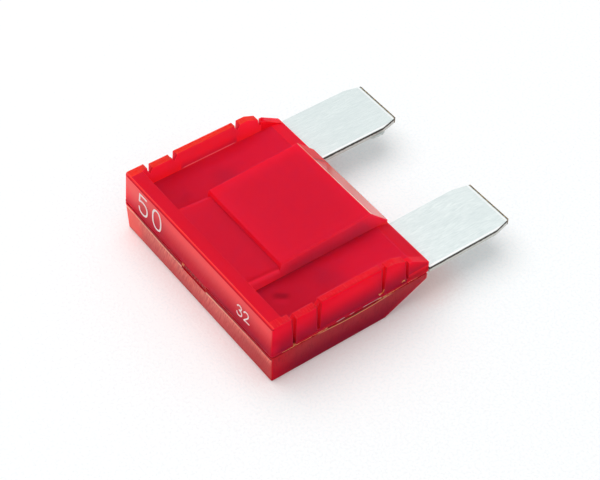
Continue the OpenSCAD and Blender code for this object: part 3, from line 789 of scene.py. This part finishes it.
def addWeldFlash(spec, form, material):
    inset = form["halfWidth"] - spec["reach"]
    for side, name in ((1, "weld_flash_near"), (-1, "weld_flash_far")):
        shape = bmesh.new()
        fin(shape, spec["side"], lambda along, z: Vector((side * inset, form["endAt"] + along, z)),
            Vector((side, 0, 0)), spec["reach"])
        addPiece(name, shape, material)
    shape = bmesh.new()
    for key in ("endLeft", "endRight"):
        fin(shape, spec[key], lambda across, z: Vector((across, form["endAt"] + spec["reach"], z)),
            Vector((0, -1, 0)), spec["reach"])
    addPiece("weld_flash_end", shape, tornLook("redRidge", spec["endPaints"]))


curls = [
    [(14.7, 5.15, 0.07), (14.85, 4.95, 0.11), (15.05, 5.05, 0.08), (15.25, 5.1, 0.065),
     (15.4, 5.5, 0.04)],
    [(17.95, 5.0, 0.06), (18.15, 5.1, 0.08), (18.3, 5.12, 0.08), (18.38, 4.95, 0.05)],
]


def addCurls(lines, form, material):
    # each line holds the way along, height and half thickness
    shape = bmesh.new()
    for line in lines:
        stations = [(Vector((form["halfWidth"] - thick, form["endAt"] + along, z)), thick, thick)
                    for along, z, thick in smooth(line, 0.05)[0]]
        bead(shape, stations, Vector((1, 0, 0)))
    addPiece("plastic_curls", shape, material)


crumbs = {
    "cornerPaints": (rgb(206, 4, 30), rgb(255, 24, 44)), "uneven": 0.2,
    # the place as across, along and height, then the half size
    "seam": [((14.44, 12.0, 3.86), (0.13, 0.4, 0.09)), ((-2.6, 0.16, 3.95), (0.14, 0.12, 0.34)),
             ((2.15, 0.16, 4.05), (0.2, 0.12, 0.13))],
    "corner": [((-14.4, 0.2, 4.42), (0.17, 0.15, 0.24))],
}


def addCrumbs(name, places, form, material):
    shape = bmesh.new()
    for (across, along, z), size in places:
        made = bmesh.ops.create_icosphere(shape, subdivisions=2, radius=1)
        for vert in made["verts"]:
            push = 1 + chance.uniform(-crumbs["uneven"], crumbs["uneven"])
            vert.co = (Vector((across, form["endAt"] + along, z))
                       + Vector([c * s * push for c, s in zip(vert.co, size)])) * mm
    addPiece(name, shape, material)


gateScar = {
    "paints": (rgb(160, 0, 24), rgb(214, 34, 40)), "x": (-2.76, 1.96), "z": (3.34, 4.15),
    "front": 0.27, "back": 0.45, "lumps": (0.02, 0.13), "cells": (34, 7),
}


def addGateScar(spec, form):
    # an uneven torn skin in the gate's notch, closed at the back
    across, up = spec["cells"]
    (left, right), (foot, top) = spec["x"], spec["z"]
    shape = bmesh.new()
    rims = []
    for side in ("front", "back"):
        grid = []
        for j in range(up + 1):
            row = []
            for i in range(across + 1):
                inner = 0 < i < across and 0 < j < up
                lump = chance.uniform(*spec["lumps"]) if side == "front" and inner else 0
                row.append(shape.verts.new(Vector((
                    left + (right - left) * i / across, form["endAt"] + spec[side] - lump,
                    foot + (top - foot) * j / up)) * mm))
            grid.append(row)
        for low, high in zip(grid, grid[1:]):
            for i in range(across):
                shape.faces.new((low[i], low[i + 1], high[i + 1], high[i]))
        rims.append(grid[0] + [row[-1] for row in grid[1:]] + grid[-1][-2::-1]
                    + [row[0] for row in grid[-2:0:-1]])
    for i in range(len(rims[0])):
        j = (i + 1) % len(rims[0])
        shape.faces.new((rims[0][i], rims[0][j], rims[1][j], rims[1][i]))
    addPiece("gate_scar", shape, tornLook("tornGate", spec["paints"]), False)


bladeBurr = {
    "x": -6.5, "reach": 0.34,
    "line": [(30, 4.1, 0.02), (30.6, 4.11, 0.03), (31.5, 4.1, 0.03), (32.2, 4.1, 0.02)],
}


def addBladeBurr(spec, form, material):
    shape = bmesh.new()
    fin(shape, spec["line"], lambda along, z: Vector((spec["x"], form["endAt"] + along, z)),
        Vector((1, 0, 0)), spec["reach"])
    addPiece("blade_burr", shape, material)


paleFlash = tornLook("paleFlash", weldFlash["paints"])
addWeldFlash(weldFlash, shellForm, paleFlash)
addCurls(curls, shellForm, paleFlash)
addCrumbs("plastic_crumbs", crumbs["seam"], shellForm, paleFlash)
addCrumbs("corner_flash", crumbs["corner"], shellForm, tornLook("redFlash", crumbs["cornerPaints"]))
addGateScar(gateScar, shellForm)
addBladeBurr(bladeBurr, shellForm, zinc)
print("weld flash, gate scar and burr added")


# Floor, world and lamp. The floor and the lamp are in metres, and the paper's tints in millimetres
studio = {
    "floorSize": 6, "floorLift": 0.14, "grain": 3.2, "grainBump": (0.1, 0.6),
    "paper": (0.874, 0.894, 0.902, 1), "paperDark": (0.81, 0.83, 0.838, 1),
    # painted pink shadow and red bounce light close around the housing, rosier beside its nose
    "pink": ((0.95, 0.82, 0.81, 1), 0.45), "pinkShadowReach": 3,
    "rose": ((0.9, 0.64, 0.6, 1), 0.8), "roseShadowAt": (12, 6.5, 0), "roseShadowReach": (6, 0.5),
    "worldStrength": 0.55,
    "keyPlace": (-0.16, -0.05, 0.6), "keySize": 0.75, "keyPower": 2.6,
}


def paperLook(spec, form):
    look = Look("whitePaper")
    spot, (x, y, _) = look.place()
    grain = look.noise(spot, spec["grain"], 2)
    paper = look.blend(look.rise(grain, 0.3, 0.7), spec["paper"], spec["paperDark"])
    # painted shade and red bounce light from the housing tint the paper around it
    halfLength = form["length"] / 2
    beside, beyond = (look.node("Math", {"operation": "MAXIMUM"}, {0: gap, 1: 0.0}) for gap in (
        look.size(x) - form["halfWidth"], look.size(y - form["endAt"] - halfLength) - halfLength))
    fromHousing = look.node("Math", {"operation": "SQRT"}, {0: beside * beside + beyond * beyond})
    paper = look.lay(look.rise(fromHousing, spec["pinkShadowReach"], 0), paper, spec["pink"])
    fromNose = look.distance(look.point(look.size(x), y), spec["roseShadowAt"])
    paper = look.lay(look.rise(fromNose, *spec["roseShadowReach"]), paper, spec["rose"])
    diffuse = look.node("BsdfDiffuse", sockets={
        "Color": paper, "Normal": look.bump(grain, *spec["grainBump"])})
    # the background reads as white, also in reflections
    camera, glossy, clear = (look.node("LightPath", output=f"Is {ray} Ray")
                             for ray in ("Camera", "Glossy", "Transmission"))
    shine = look.node("Emission", sockets={"Strength": (camera + glossy + clear) * spec["floorLift"]})
    return look.show(look.node("AddShader", sockets={0: diffuse, 1: shine}))


def addFloor(spec, form):
    mesh = bpy.data.meshes.new("floor")
    shape = bmesh.new()
    bmesh.ops.create_grid(shape, x_segments=8, y_segments=8, size=spec["floorSize"] / 2)
    shape.to_mesh(mesh)
    shape.free()
    mesh.materials.append(paperLook(spec, form))
    floor = bpy.data.objects.new("floor", mesh)
    bpy.context.scene.collection.objects.link(floor)


def lightStudio(spec):
    world = bpy.data.worlds.new("studioWorld")
    world.use_nodes = True
    background = world.node_tree.nodes["Background"]
    background.inputs["Color"].default_value = (1, 1, 1, 1)
    background.inputs["Strength"].default_value = spec["worldStrength"]
    bpy.context.scene.world = world
    data = bpy.data.lights.new("keyLamp", "AREA")
    data.shape = "DISK"
    data.size = spec["keySize"]
    data.energy = spec["keyPower"]
    lamp = bpy.data.objects.new("keyLamp", data)
    lamp.location = spec["keyPlace"]
    lamp.rotation_euler = (-Vector(spec["keyPlace"])).to_track_quat("-Z", "Y").to_euler()
    bpy.context.scene.collection.objects.link(lamp)
    bpy.context.scene.view_settings.view_transform = "Standard"


addFloor(studio, shellForm)
lightStudio(studio)
print("studio lit")
